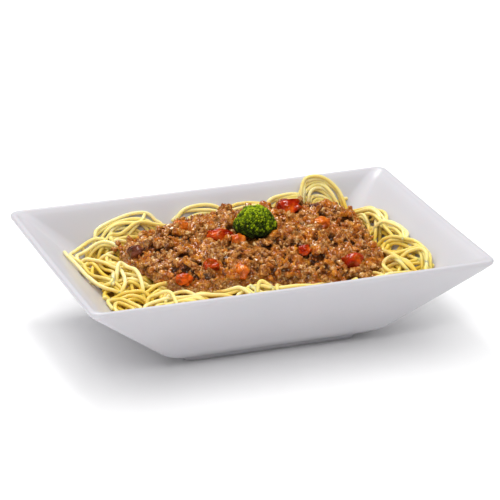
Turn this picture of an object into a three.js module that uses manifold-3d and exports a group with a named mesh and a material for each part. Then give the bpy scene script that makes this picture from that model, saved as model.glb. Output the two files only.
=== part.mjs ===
// A rectangular white porcelain dish of spaghetti bolognese, in millimetres, +Z up.
// The origin is the centre of the foot, on the table. +X runs along the long side and -Y is the near side.
// The dish is one hollow solid on a low foot. The pasta is one heap: a core that fills the dish, with the noodles
// that show laid over it and fused on. The meat sauce is a lumpy mound on the core, and holds the pieces of tomato,
// carrot and mushroom and one floret of broccoli, each a solid of its own in a seat pressed into the sauce.
import * as THREE from "three";
import { mergeVertices } from "three/addons/utils/BufferGeometryUtils.js";
import Module from "manifold-3d";

// Driving dimensions of the dish.
const RIM_LENGTH = 280;
const RIM_WIDTH = 200;
const DISH_HEIGHT = 65.4;
const UNDER_LENGTH = 140.6; // where the outside of the walls would meet the underside
const UNDER_WIDTH = 114;
const UNDER_HEIGHT = 3.8;
const UNDER_CORNER = 8;
const KNEE_HEIGHT = 9.9; // the underside's rounded edge is drawn towards this height
const LIP_HEIGHT = 3.5; // the rim's upright outer edge
const FOOT_LENGTH = 122;
const FOOT_WIDTH = 94;
const FOOT_HEIGHT = 3.6;
const FOOT_CORNER = 5;
const FOOT_RECESS = 2.2;
const BEND_LENGTH = 153.6; // the inside walls are set in from straight walls that meet here
const BEND_WIDTH = 127.6;
const BEND_HEIGHT = 5;
const BEND_CORNER = 24;
const WALL_GAP_X = 6.4; // how far they are set in, measured level
const WALL_GAP_Y = 5.2;
const FLOOR_HEIGHT = 10.5;
const RIM_CORNER = 7.5;
const RIM_SAG = 0.7; // how far the middle of each side hangs below the corners

// Driving dimensions of the food.
const NOODLE = 2.8; // cooked diameter
const SAUCE_BED = 41; // level of the hollow in the pasta that holds the sauce
const CLEARANCE = 0.6; // between the heap and the dish
const SEAT_GAP = 0.35; // between a topping and the sauce round it
const SAUCE = { x: 12, y: 17, rim: 8.5, tilt: 3, rise: 17 };
const FLORET = { x: 11, y: 13, seat: 58, radius: 15.5, height: 22 };

const SHORTEST_EDGE = 0.03;

const wasm = await Module();
wasm.setup();

const radians = THREE.MathUtils.degToRad;
const mix = THREE.MathUtils.lerp;

// Repeatable draws, so that the part is the same each time it is built.
function drawsFrom(seed) {
  let state = seed;
  return (low, high) => {
    state = (state * 1664525 + 1013904223) % 4294967296;
    return low + ((high - low) * state) / 4294967296;
  };
}

// A closed three.js geometry as a solid for cutting and joining.
function solidOf(geometry) {
  const bare = geometry.clone();
  bare.deleteAttribute("normal");
  bare.deleteAttribute("uv");
  const merged = mergeVertices(bare, 1e-3);
  const solid = new wasm.Manifold(
    new wasm.Mesh({
      numProp: 3,
      vertProperties: merged.attributes.position.array,
      triVerts: new Uint32Array(merged.index.array),
    }),
  );
  return solid;
}

// The largest piece of a solid as a flat-shaded geometry. Loose scraps and edges too short to keep are dropped.
function geometryOf(solid) {
  const pieces = solid.simplify(SHORTEST_EDGE).decompose();
  pieces.sort((a, b) => b.volume() - a.volume());
  const mesh = pieces[0].getMesh();
  const geometry = new THREE.BufferGeometry();
  geometry.setAttribute("position", new THREE.BufferAttribute(mesh.vertProperties, 3));
  geometry.setIndex(new THREE.BufferAttribute(mesh.triVerts, 1));
  const flat = geometry.toNonIndexed();
  flat.computeVertexNormals();
  return flat;
}

function material(colour, roughness) {
  return new THREE.MeshStandardMaterial({ color: colour, roughness, metalness: 0 });
}

function named(name, geometry, finish) {
  const mesh = new THREE.Mesh(geometry, finish);
  mesh.name = name;
  return mesh;
}

// Level sections of the dish: a rounded rectangle of half sizes x and y at height z.
const LONG_STEPS = 8;
const SHORT_STEPS = 6;
const CORNER_STEPS = 5;
const AROUND = 2 * LONG_STEPS + 2 * SHORT_STEPS + 4 * CORNER_STEPS;

function roundedRectangle({ x, y, corner }) {
  const points = [];
  const sides = [SHORT_STEPS, LONG_STEPS, SHORT_STEPS, LONG_STEPS];
  const centres = [[1, 1], [-1, 1], [-1, -1], [1, -1]];
  centres.forEach(([sx, sy], k) => {
    const cx = sx * (x - corner);
    const cy = sy * (y - corner);
    const [nx, ny] = centres[(k + 1) % 4];
    for (let i = 0; i < CORNER_STEPS; i++) {
      const angle = radians(90 * (k + i / CORNER_STEPS));
      points.push([cx + corner * Math.cos(angle), cy + corner * Math.sin(angle)]);
    }
    const end = radians(90 * (k + 1));
    const from = [cx + corner * Math.cos(end), cy + corner * Math.sin(end)];
    const to = [
      nx * (x - corner) + corner * Math.cos(end),
      ny * (y - corner) + corner * Math.sin(end),
    ];
    const steps = sides[(k + 1) % 4];
    for (let i = 0; i < steps; i++) {
      points.push([mix(from[0], to[0], i / steps), mix(from[1], to[1], i / steps)]);
    }
  });
  return points;
}

// A turned solid whose rings are squared into the given sections. The first and last ring close on the axis.
function squaredLathe(rings, pointOf, around) {
  const profile = rings.map((ring) => new THREE.Vector2(ring.x, ring.z));
  const geometry = new THREE.LatheGeometry(profile, around);
  const position = geometry.attributes.position;
  rings.forEach((ring, j) => {
    const points = ring.x === 0 ? null : pointOf(ring);
    for (let i = 0; i <= around; i++) {
      const [x, y, z] = points ? points[i % around] : [0, 0, ring.z];
      position.setXYZ(i * rings.length + j, x, y, z);
    }
  });
  return geometry;
}

// A section of the dish's outside at a share of the height from the underside (0) to the lip (1).
function outerRing(share) {
  return {
    x: mix(UNDER_LENGTH, RIM_LENGTH, share) / 2,
    y: mix(UNDER_WIDTH, RIM_WIDTH, share) / 2,
    z: mix(UNDER_HEIGHT, DISH_HEIGHT - LIP_HEIGHT, share),
    corner: mix(UNDER_CORNER, RIM_CORNER, share),
  };
}

// A wall section at a share of the height from the bend (0) to the rim (1), set in by a level thickness.
function wallRing(share, insetX = 0, insetY = 0) {
  return {
    x: mix(BEND_LENGTH, RIM_LENGTH, share) / 2 - insetX,
    y: mix(BEND_WIDTH, RIM_WIDTH, share) / 2 - insetY,
    z: mix(BEND_HEIGHT, DISH_HEIGHT, share),
    corner: mix(BEND_CORNER, RIM_CORNER, share),
  };
}

// Rings along a soft bend from section a to section c, drawn towards section b.
function bend(a, b, c, steps) {
  const rings = [];
  for (let i = 0; i <= steps; i++) {
    const t = i / steps;
    const ring = {};
    for (const key of ["x", "y", "z", "corner"]) {
      ring[key] = mix(mix(a[key], b[key], t), mix(b[key], c[key], t), t);
    }
    rings.push(ring);
  }
  return rings;
}

function section(halfX, halfY, z, corner) {
  return { x: halfX, y: halfY, z, corner };
}

// The inside of the dish from its floor up, set in by a clearance.
function insideRings(clearance) {
  const floor = FLOOR_HEIGHT + clearance;
  const inset = [WALL_GAP_X + clearance * 1.4, WALL_GAP_Y + clearance * 1.25];
  const knee = wallRing(0.02, ...inset);
  return {
    floor,
    rings: bend(
      section(BEND_LENGTH / 2 - 26, BEND_WIDTH / 2 - 24, floor, 20),
      { ...knee, z: floor },
      wallRing(0.34, ...inset),
      4,
    ),
    wall: (share) => wallRing(share, ...inset),
  };
}

function dish() {
  const footX = FOOT_LENGTH / 2;
  const footY = FOOT_WIDTH / 2;
  const knee = { ...outerRing(0.12), z: KNEE_HEIGHT };
  const { rings: insideBend, floor } = insideRings(0);
  const top = wallRing(1);
  const lip = (inset, drop) => ({ ...top, x: top.x - inset, y: top.y - inset * 0.85, z: top.z - drop });
  const rings = [
    section(0, 0, FOOT_RECESS, 1),
    section(footX - 8, footY - 8, FOOT_RECESS, FOOT_CORNER - 2.5),
    section(footX - 4.5, footY - 4.5, 0, FOOT_CORNER - 1),
    section(footX - 0.8, footY - 0.8, 0, FOOT_CORNER),
    section(footX + 0.2, footY + 0.2, 1, FOOT_CORNER + 0.5),
    section(footX + 0.6, footY + 0.5, FOOT_HEIGHT - 0.1, FOOT_CORNER + 0.5),
    ...bend(section(footX + 7.5, footY + 1.2, FOOT_HEIGHT + 0.1, FOOT_CORNER + 2), knee, outerRing(0.2), 3),
    outerRing(0.6),
    outerRing(1),
    lip(0, 1.6),
    lip(0.4, 0.7),
    lip(2, 0),
    lip(4.2, 0.5),
    wallRing(0.94, WALL_GAP_X, WALL_GAP_Y),
    wallRing(0.6, WALL_GAP_X, WALL_GAP_Y),
    ...insideBend.reverse(),
    section(0, 0, floor, 1),
  ];
  const points = (ring) =>
    roundedRectangle(ring).map(([x, y]) => {
      const raised = Math.max(0, ring.z - BEND_HEIGHT) / (DISH_HEIGHT - BEND_HEIGHT);
      const middle = Math.max(1 - (x / ring.x) ** 2, 1 - (y / ring.y) ** 2);
      return [x, y, ring.z - RIM_SAG * raised ** 2 * middle];
    });
  return squaredLathe(rings, points, AROUND);
}

// Height of the dish's inside surface, raised by the clearance, over a point of the plan.
function wallHeight(x, y) {
  const { wall } = insideRings(CLEARANCE);
  let low = 0;
  let high = 1.15;
  for (let i = 0; i < 16; i++) {
    const share = (low + high) / 2;
    const ring = wall(share);
    const dx = Math.abs(x) - ring.x + ring.corner;
    const dy = Math.abs(y) - ring.y + ring.corner;
    const outside = Math.hypot(Math.max(dx, 0), Math.max(dy, 0)) + Math.min(Math.max(dx, dy), 0) - ring.corner;
    if (outside > 0) low = share;
    else high = share;
  }
  return wall(high).z;
}

// The sauce's outline seen from above, anticlockwise from its right end.
const OUTLINE = [
  [97, 10], [100, 44], [97, 67], [74, 77], [38, 77.5], [5, 76], [-32, 71], [-58, 61], [-77, 39], [-70, 7],
  [-61, -23], [-43, -33], [-10, -34], [20, -42], [58, -46], [86, -36],
];

// The outline's distance from the middle of the sauce, degree by degree.
const OUTLINE_REACH = [];
{
  const curve = new THREE.CatmullRomCurve3(
    OUTLINE.map(([x, y]) => new THREE.Vector3(x - SAUCE.x, y - SAUCE.y, 0)),
    true,
  );
  for (const point of curve.getPoints(3000)) {
    const degree = Math.round(THREE.MathUtils.radToDeg(Math.atan2(point.y, point.x)) + 360) % 360;
    OUTLINE_REACH[degree] = Math.hypot(point.x, point.y);
  }
}

function outlineReach(angle) {
  const degrees = (THREE.MathUtils.radToDeg(angle) + 720) % 360;
  const whole = Math.floor(degrees);
  return mix(OUTLINE_REACH[whole], OUTLINE_REACH[(whole + 1) % 360], degrees - whole);
}

// How far out a point lies in the sauce: 0 at its middle, 1 at its edge.
function sauceShare(x, y) {
  const angle = Math.atan2(y - SAUCE.y, x - SAUCE.x);
  return Math.hypot(x - SAUCE.x, y - SAUCE.y) / outlineReach(angle);
}

// Distance from the sauce's edge, outwards.
function beyondSauce(x, y) {
  const share = sauceShare(x, y);
  return (Math.hypot(x - SAUCE.x, y - SAUCE.y) * (share - 1)) / share;
}

function sauceHeight(x, y) {
  const share = Math.min(1, sauceShare(x, y));
  const edge = Math.sqrt(Math.max(0, 1 - share ** 8));
  const tilt = (SAUCE.tilt * (y - SAUCE.y)) / 60;
  return SAUCE_BED + 2 + edge * (SAUCE.rim + tilt + (SAUCE.rise - SAUCE.rim) * (1 - share ** 2.1));
}

// The noodles. Each bundle is part of an ellipse seen from above: centre, half sizes, turn of its long axis, start
// and sweep in degrees, strands side by side, their spacing, and how far the bundle arches off what it lies on.
const BUNDLES = [
  { at: [-78, 26], size: [31, 48], turn: 0, start: 125, sweep: 115, strands: 2, gap: 4.4, arch: 0 },
  { at: [90, 40], size: [24, 40], turn: 0, start: 78, sweep: -130, strands: 3, gap: 4.4, arch: 0 },
  { at: [97, -36], size: [17, 36], turn: 0, start: 84, sweep: -140, strands: 3, gap: 4.2, arch: 0 },
  { at: [-66, -62], size: [24, 18], turn: 0, start: 165, sweep: -145, strands: 2, gap: 4.6, arch: 0 },
  { at: [45, -42], size: [44, 17], turn: 0, start: 198, sweep: 144, strands: 2, gap: 4.6, arch: 0 },
  { at: [-60, 79], size: [23.5, 9.5], turn: 0, start: -12, sweep: 204, strands: 2, gap: 3.8, arch: 0 },
  { at: [-66, 78], size: [18, 12], turn: 0, start: 170, sweep: 130, strands: 1, gap: 3.2, arch: 0 },
  { at: [-72, 98], size: [28, 24], turn: 0, start: -30, sweep: -70, strands: 1, gap: 3, arch: 0 },
  { at: [-86, 55], size: [18, 20], turn: 0, start: -8, sweep: 205, strands: 2, gap: 4.4, arch: 1 },
  { at: [-103, 20], size: [12, 30], turn: 0, start: 105, sweep: -190, strands: 2, gap: 4.4, arch: 0 },
  { at: [-102, -42], size: [9, 17], turn: 0, start: 200, sweep: -260, strands: 1, gap: 3.4, arch: 0 },
  { at: [-96, -40], size: [20, 20], turn: 0, start: 115, sweep: -100, strands: 2, gap: 4.4, arch: 1 },
  { at: [-86, -9], size: [8, 26], turn: 0, start: 165, sweep: -235, strands: 1, gap: 3, arch: 3 },
  { at: [-50, -60], size: [34, 22], turn: 0, start: 80, sweep: -85, strands: 2, gap: 4.4, arch: 1 },
  { at: [-9, -54], size: [6, 12], turn: 0, start: 190, sweep: -200, strands: 1, gap: 3, arch: 2 },
  { at: [5, -56], size: [10, 13], turn: 0, start: 190, sweep: -200, strands: 1, gap: 3, arch: 2 },
  { at: [-7, 79], size: [22, 8], turn: 0, start: 0, sweep: 180, strands: 2, gap: 4.4, arch: 0 },
  { at: [31, 80], size: [19, 6.5], turn: 0, start: 0, sweep: 180, strands: 2, gap: 3.8, arch: 0 },
  { at: [60, 80], size: [19, 6.8], turn: 0, start: 0, sweep: 180, strands: 2, gap: 3.8, arch: 0 },
  { at: [84, 80], size: [13.5, 10.5], turn: 0, start: -25, sweep: 225, strands: 2, gap: 4.2, arch: 0 },
  { at: [124, 46], size: [21, 58], turn: 0, start: 150, sweep: 82, strands: 1, gap: 3.3, arch: 1 },
  { at: [132, -30], size: [34, 48], turn: 0, start: 150, sweep: 62, strands: 2, gap: 4.4, arch: 1 },
  { at: [101, -46], size: [12, 18], turn: 0, start: 115, sweep: -150, strands: 1, gap: 3.2, arch: 0 },
  { at: [88, -47], size: [7, 8], turn: 0, start: 20, sweep: 310, strands: 1, gap: 3, arch: 2 },
];

// A grid over the plan that holds the height of what lies there so far.
class Ground {
  constructor(step, heightAt) {
    this.step = step;
    this.columns = Math.ceil(RIM_LENGTH / step) + 1;
    this.rows = Math.ceil(RIM_WIDTH / step) + 1;
    this.heights = new Float64Array(this.columns * this.rows);
    this.visit(0, 0, RIM_LENGTH, (index, x, y) => {
      this.heights[index] = heightAt(x, y);
    });
  }

  // Calls back with each grid point within a distance of a point, and with that distance.
  visit(x, y, reach, callback) {
    const column = (x + RIM_LENGTH / 2) / this.step;
    const row = (y + RIM_WIDTH / 2) / this.step;
    const span = reach / this.step;
    for (let j = Math.max(0, Math.ceil(row - span)); j <= Math.min(this.rows - 1, row + span); j++) {
      for (let i = Math.max(0, Math.ceil(column - span)); i <= Math.min(this.columns - 1, column + span); i++) {
        const px = i * this.step - RIM_LENGTH / 2;
        const py = j * this.step - RIM_WIDTH / 2;
        const distance = Math.hypot(px - x, py - y);
        if (distance <= reach) callback(j * this.columns + i, px, py, distance);
      }
    }
  }

  // Lays a round strand along a route: it rests on what is there, bridges small gaps, and becomes ground itself.
  lay(route, radius, arch) {
    const rest = route.map(([x, y]) => {
      let height = 0;
      this.visit(x, y, radius, (index, px, py, d) => {
        height = Math.max(height, this.heights[index] + Math.sqrt(radius * radius - d * d));
      });
      return height;
    });
    let line = rest.map((height, i) => height + arch * Math.sin((Math.PI * i) / (rest.length - 1)));
    const floor = line.slice();
    for (let pass = 0; pass < 24; pass++) {
      line = line.map((height, i) => {
        if (i === 0 || i === line.length - 1) return height;
        return Math.max(floor[i], (line[i - 1] + 2 * height + line[i + 1]) / 4);
      });
    }
    const sunk = radius - FUSED;
    route.forEach(([x, y], i) => {
      this.visit(x, y, sunk, (index, px, py, d) => {
        this.heights[index] = Math.max(this.heights[index], line[i] + Math.sqrt(sunk * sunk - d * d));
      });
    });
    return route.map(([x, y], i) => new THREE.Vector3(x, y, line[i]));
  }
}

const FUSED = 0.5; // how deep a noodle sinks into what it lies on
const ROUTE_STEP = 2;
const TUBE_STEP = 8.4;
const TUBE_SIDES = 5;

// The plan route of one strand of a bundle, cut to its longest stretch clear of the sauce and inside the dish.
function routeOf(bundle, strand) {
  const offset = (strand - (bundle.strands - 1) / 2) * bundle.gap;
  const [rx, ry] = bundle.size.map((half) => half + offset);
  const turn = radians(bundle.turn);
  const length = radians(Math.abs(bundle.sweep)) * Math.hypot(rx, ry) * Math.SQRT1_2;
  const count = Math.max(6, Math.round(length / ROUTE_STEP));
  const runs = [[]];
  for (let i = 0; i <= count; i++) {
    const share = i / count;
    const angle = radians(bundle.start + bundle.sweep * share + 6 * strand);
    const ripple = 1 + 0.03 * Math.sin(5 * angle + 2 * strand);
    const ex = rx * ripple * Math.cos(angle);
    const ey = ry * ripple * Math.sin(angle);
    const x = bundle.at[0] + ex * Math.cos(turn) - ey * Math.sin(turn);
    const y = bundle.at[1] + ex * Math.sin(turn) + ey * Math.cos(turn);
    const clear = beyondSauce(x, y) > NOODLE / 2 + SEAT_GAP;
    if (clear && wallHeight(x, y) < DISH_HEIGHT - 6) runs.at(-1).push([x, y]);
    else runs.push([]);
  }
  return runs.sort((a, b) => b.length - a.length)[0];
}

function tube(points, radius, sides) {
  const section = new THREE.Shape();
  for (let i = 0; i < sides; i++) {
    const angle = (2 * Math.PI * i) / sides;
    const [x, y] = [radius * Math.cos(angle), radius * Math.sin(angle)];
    if (i === 0) section.moveTo(x, y);
    else section.lineTo(x, y);
  }
  section.closePath();
  const curve = new THREE.CatmullRomCurve3(points);
  const steps = Math.max(7, Math.round(curve.getLength() / TUBE_STEP));
  return new THREE.ExtrudeGeometry(section, { steps, bevelEnabled: false, extrudePath: curve });
}

// Level of the bare core round the sauce: low in the left back corner, high at the right and the back.
function ledgeHeight(x, y) {
  const corner = Math.max(0, 1 - Math.hypot(x + 100, y - 76) / 46);
  const front = Math.max(0, -y - 15) / 45;
  return 43.5 + (3 * x) / 110 + (1.2 * y) / 80 - 9 * corner + 3 * Math.min(1, front);
}

// The core: it fills the dish to the ledge, whose edge rings slide along the wall.
function pastaCore() {
  const { floor, rings, wall } = insideRings(CLEARANCE);
  const shareAt = (z) => (z - BEND_HEIGHT) / (DISH_HEIGHT - BEND_HEIGHT);
  const coreRings = [
    section(0, 0, floor, 1),
    ...rings,
    { ...wall(shareAt(33)), inset: 0 },
    { ...wall(shareAt(43)), inset: 1 },
    { ...wall(shareAt(43)), inset: 1, x: 95, y: 62 },
    section(0, 0, SAUCE_BED + 1, 1),
  ];
  const points = (ring) => {
    const outline = roundedRectangle(ring);
    if (!ring.inset) return outline.map(([x, y]) => [x, y, ring.z]);
    const onWall = ring.x > 96;
    return outline.map(([x, y], i) => {
      const z = ledgeHeight(x, y);
      if (!onWall) return [x, y, z];
      const [wx, wy] = roundedRectangle(wall(shareAt(z - 0.3)))[i];
      return [wx, wy, z - 0.3];
    });
  };
  return solidOf(squaredLathe(coreRings, points, AROUND));
}

// The hollow pressed into the core by the sauce, a little wider than the sauce.
function sauceBed() {
  const outline = new THREE.Shape();
  for (let degree = 0; degree < 360; degree += 9) {
    const reach = outlineReach(radians(degree)) + SEAT_GAP * 1.5;
    const x = SAUCE.x + reach * Math.cos(radians(degree));
    const y = SAUCE.y + reach * Math.sin(radians(degree));
    if (degree === 0) outline.moveTo(x, y);
    else outline.lineTo(x, y);
  }
  outline.closePath();
  const bed = new THREE.ExtrudeGeometry(outline, { depth: 20, bevelEnabled: false });
  bed.translate(0, 0, SAUCE_BED);
  return solidOf(bed);
}

function spaghetti() {
  let heap = pastaCore().subtract(sauceBed());
  const ground = new Ground(1.4, (x, y) => Math.max(wallHeight(x, y), ledgeHeight(x, y) - FUSED));
  for (const bundle of BUNDLES) {
    for (let strand = 0; strand < bundle.strands; strand++) {
      const route = routeOf(bundle, strand);
      if (route.length * ROUTE_STEP < 3 * TUBE_STEP) continue;
      const line = ground.lay(route, NOODLE / 2, bundle.arch);
      const knots = line.filter((point, i) => i % 3 === 0 || i === line.length - 1);
      heap = heap.add(solidOf(tube(knots, NOODLE / 2, TUBE_SIDES)));
    }
  }
  return heap;
}

// A rough lump: a faceted ball, stretched, turned and dented by repeatable draws.
function lump({ x, y, z, size, detail = 0, seed = 1, rough = 0.14, grow = 0 }) {
  const draw = drawsFrom(seed);
  const ball = mergeVertices(bare(new THREE.IcosahedronGeometry(1, detail)));
  const position = ball.attributes.position;
  for (let i = 0; i < position.count; i++) {
    const swell = 1 + draw(-rough, rough);
    const [px, py, pz] = [position.getX(i), position.getY(i), position.getZ(i)];
    position.setXYZ(
      i,
      px * (size[0] * swell + grow),
      py * (size[1] * swell + grow),
      pz * (size[2] * swell + grow),
    );
  }
  ball.rotateX(draw(-0.35, 0.35));
  ball.rotateY(draw(-0.35, 0.35));
  ball.rotateZ(draw(0, Math.PI));
  ball.translate(x, y, z);
  return ball;
}

function bare(geometry) {
  geometry.deleteAttribute("normal");
  geometry.deleteAttribute("uv");
  return geometry;
}

const MOUND_AROUND = 40;
const MOUND_RINGS = [0.28, 0.52, 0.72, 0.88, 0.97];

// The mound without its lumps, from a level underside on the core to the rounded top.
function moundShape() {
  const bottom = SAUCE_BED + SEAT_GAP;
  const pointAt = (share, angle, height) => {
    const reach = share * outlineReach(angle);
    const [x, y] = [SAUCE.x + reach * Math.cos(angle), SAUCE.y + reach * Math.sin(angle)];
    return [x, y, height ?? sauceHeight(x, y)];
  };
  const rings = [
    { x: 0, z: bottom },
    { x: 1, share: 0.95, z: bottom },
    { x: 1, share: 1, z: bottom + 1.6 },
    ...MOUND_RINGS.toReversed().map((share) => ({ x: 1, share })),
    { x: 0, z: sauceHeight(SAUCE.x, SAUCE.y) },
  ];
  const geometry = squaredLathe(
    rings,
    (ring) =>
      Array.from({ length: MOUND_AROUND }, (unused, i) =>
        pointAt(ring.share, (2 * Math.PI * i) / MOUND_AROUND, ring.z),
      ),
    MOUND_AROUND,
  );
  const position = geometry.attributes.position;
  for (let i = 0; i < position.count; i++) {
    if (position.getX(i) === 0 && position.getY(i) === 0) {
      position.setXYZ(i, SAUCE.x, SAUCE.y, position.getZ(i));
    }
  }
  return geometry;
}

// Lumps of minced meat over the mound, on a spiral that spreads them evenly.
const LUMPS = 34;
const LUMP_SIZE = 6.8;

function meatSauce(toppings) {
  const draw = drawsFrom(7);
  let mound = solidOf(moundShape());
  for (let i = 0; i < LUMPS; i++) {
    const share = Math.sqrt((i + 0.5) / LUMPS);
    const angle = i * Math.PI * (3 - Math.sqrt(5));
    const away = 0.86 * share * outlineReach(angle);
    const x = SAUCE.x + away * Math.cos(angle) + draw(-2, 2);
    const y = SAUCE.y + away * Math.sin(angle) + draw(-2, 2);
    const half = LUMP_SIZE * draw(0.75, 1.35);
    const size = [half * draw(0.9, 1.4), half, half * 0.7];
    const z = sauceHeight(x, y) - half * 0.15;
    mound = mound.add(solidOf(lump({ x, y, z, size, seed: i + 11, rough: 0.18 })));
  }
  for (const cutter of toppings) mound = mound.subtract(cutter);
  return mound.trimByPlane([0, 0, 1], SAUCE_BED + SEAT_GAP);
}

// Pieces of vegetable that stand out of the sauce: place in the plan, half sizes, and how far the middle lies above
// the sauce.
const TOPPINGS = {
  tomato: [
    { at: [-15, 16], size: [10.5, 6.5, 5], up: 1.8 },
    { at: [49, 51], size: [11.5, 8, 6], up: 2.6 },
    { at: [-33, -19], size: [7, 6, 4.5], up: 1.8 },
    { at: [-54, -24], size: [7, 6, 5], up: 1.8 },
    { at: [34, -20], size: [5.5, 5, 4], up: 1.8 },
    { at: [63, -35], size: [9, 7, 5], up: 1.6 },
  ],
  carrot: [
    { at: [-5, 4], size: [5.5, 5, 4.5], up: 2 },
    { at: [-33, 44], size: [6.5, 5.5, 4.5], up: 2 },
    { at: [61, 18], size: [7, 6, 4.5], up: 1.8 },
    { at: [-14, -27], size: [9, 4.5, 4], up: 1.2 },
  ],
  mushroom: [
    { at: [-70, 29], size: [7, 5.5, 5], up: 1.6 },
    { at: [67, 44], size: [7, 5.5, 4.5], up: 1.8 },
  ],
};

// A topping, or with some growth its seat in the sauce. It is cut level above the core.
function toppingLump({ at: [x, y], size, up }, seed, grow) {
  const whole = solidOf(lump({ x, y, z: sauceHeight(x, y) + up, size, detail: 1, seed, rough: 0.07, grow }));
  return whole.trimByPlane([0, 0, 1], SAUCE_BED + SEAT_GAP - grow);
}

// The floret: a low dome of smaller domes, each a faceted ball, on a short stalk.
function floretBalls() {
  const { x, y, seat, radius, height } = FLORET;
  const balls = [{ x, y, z: seat + height * 0.42, size: [radius * 0.78, radius * 0.7, height * 0.42] }];
  const circles = [
    { count: 5, out: 0.58, up: 0.36, half: 0.46 },
    { count: 2, out: 0.24, up: 0.68, half: 0.48 },
  ];
  for (const { count, out, up, half } of circles) {
    for (let i = 0; i < count; i++) {
      const angle = (2 * Math.PI * (i + up)) / count;
      const wide = radius * half;
      balls.push({
        x: x + radius * out * Math.cos(angle),
        y: y + radius * out * Math.sin(angle) * 0.92,
        z: seat + height * up,
        size: [wide, wide, height * half * 0.68],
      });
    }
  }
  return balls;
}

// The whole floret, or with some growth its seat in the sauce.
function floret(grow) {
  const { x, y, seat, radius, height } = FLORET;
  const stalk = new THREE.CylinderGeometry(radius * 0.3 + grow, radius * 0.22 + grow, height * 0.4, 8);
  stalk.rotateX(Math.PI / 2);
  stalk.translate(x, y, seat + height * 0.2 - grow);
  let head = solidOf(stalk);
  floretBalls().forEach((ball, i) => {
    head = head.add(solidOf(lump({ ...ball, detail: 1, seed: 40 + i, rough: 0.06, grow })));
  });
  return head;
}

const FINISHES = {
  porcelain: material(0xdcdbdc, 0.25),
  pasta: material(0xe3c766, 0.45),
  sauce: material(0x8a4a22, 0.4),
  tomato: material(0xb4321a, 0.25),
  carrot: material(0xd2701f, 0.35),
  mushroom: material(0x5a2f22, 0.4),
  broccoli: material(0x3f6a1d, 0.6),
};

const plate = new THREE.Group();
plate.add(named("dish", geometryOf(solidOf(dish())), FINISHES.porcelain));
plate.add(named("spaghetti", geometryOf(spaghetti()), FINISHES.pasta));

const seats = [floret(SEAT_GAP * 1.4)];
let seed = 100;
for (const [kind, pieces] of Object.entries(TOPPINGS)) {
  pieces.forEach((piece, i) => {
    seed += 1;
    const name = `${kind}_${i + 1}`;
    plate.add(named(name, geometryOf(toppingLump(piece, seed, 0)), FINISHES[kind]));
    seats.push(toppingLump(piece, seed, SEAT_GAP * 1.3));
  });
}
plate.add(named("meat_sauce", geometryOf(meatSauce(seats)), FINISHES.sauce));
plate.add(named("broccoli_floret", geometryOf(floret(0)), FINISHES.broccoli));

export default plate;
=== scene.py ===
# A plate of spaghetti bolognese: a white porcelain dish, noodles, meat sauce and a floret of broccoli.
# Blender works in metres. The dish and the food are laid out in millimetres, which MM turns into metres.
import math
import random

import bmesh
import bpy
import numpy as np
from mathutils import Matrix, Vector, noise


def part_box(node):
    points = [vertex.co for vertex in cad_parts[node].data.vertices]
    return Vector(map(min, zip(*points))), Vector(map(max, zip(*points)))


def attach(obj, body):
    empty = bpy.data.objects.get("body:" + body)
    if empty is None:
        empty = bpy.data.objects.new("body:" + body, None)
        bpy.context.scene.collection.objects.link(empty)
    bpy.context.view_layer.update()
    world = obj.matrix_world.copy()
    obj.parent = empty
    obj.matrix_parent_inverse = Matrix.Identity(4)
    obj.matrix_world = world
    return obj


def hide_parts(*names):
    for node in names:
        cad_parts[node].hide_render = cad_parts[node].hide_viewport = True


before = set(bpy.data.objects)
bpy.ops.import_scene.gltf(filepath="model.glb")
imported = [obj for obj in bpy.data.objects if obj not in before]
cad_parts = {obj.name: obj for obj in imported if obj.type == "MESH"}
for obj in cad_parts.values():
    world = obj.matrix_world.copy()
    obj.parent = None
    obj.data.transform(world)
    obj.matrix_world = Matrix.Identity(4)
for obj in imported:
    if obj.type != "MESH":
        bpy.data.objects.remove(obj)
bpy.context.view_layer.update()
MM = 0.001

# The dish, in millimetres.
DISH_LOW, DISH_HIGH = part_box("dish")
RIM_LENGTH = (DISH_HIGH[0] - DISH_LOW[0]) / MM
RIM_WIDTH = (DISH_HIGH[1] - DISH_LOW[1]) / MM
DISH_HEIGHT = DISH_HIGH[2] / MM
UNDER_LENGTH = 140.6  # where the outside of the walls would meet the underside
UNDER_WIDTH = 114
UNDER_HEIGHT = 3.8
UNDER_CORNER = 8
KNEE_HEIGHT = 9.9
LIP_HEIGHT = 3.5
FOOT_LENGTH = 122
FOOT_WIDTH = 94
FOOT_HEIGHT = 3.6
FOOT_CORNER = 5
FOOT_RECESS = 2.2
BEND_LENGTH = 153.6  # the inside walls are set in from straight walls that meet here
BEND_WIDTH = 127.6
BEND_HEIGHT = 5
BEND_CORNER = 24
WALL_GAP_X = 6.4
WALL_GAP_Y = 5.2
FLOOR_HEIGHT = 10.5
FLOOR_INSET_X = 26  # from the bend to where the floor is flat
FLOOR_INSET_Y = 24
FLOOR_CORNER = 20
RIM_CORNER = 7.5
RIM_SAG = 0.7
LEAN_X = 1.4  # how far a clearance reaches along the plan, because the walls lean
LEAN_Y = 1.25
CORNER_SEGMENTS = 8
SIDE_CUTS = 9
LONG_EDGE = 20  # the edges of a section that are longer than this are cut up
END_INSETS = (8, 14)

# Sections of the recess and the foot: how far outside the foot's edge along x and y, the height, and how
# much rounder the corners are.
FOOT_PROFILE = [
    (-8, -8, FOOT_RECESS, 7),
    (-6.5, -6.5, 1.7, 4),
    (-5, -5, 0.2, 1.5),
    (-3.6, -3.6, 0, 0.3),
    (-1.2, -1.2, 0.04, 0),
    (-0.2, -0.2, 0.4, 0),
    (0.3, 0.2, 1.2, 0.2),
    (0.4, 0.3, FOOT_HEIGHT - 0.9, 0.3),
    (0.8, 0.5, FOOT_HEIGHT - 0.2, 0.5),
    (2, 0.8, FOOT_HEIGHT, 0.8),
]
FOOT_END = (7.5, 1.2, FOOT_HEIGHT + 0.1, 2)

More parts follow.
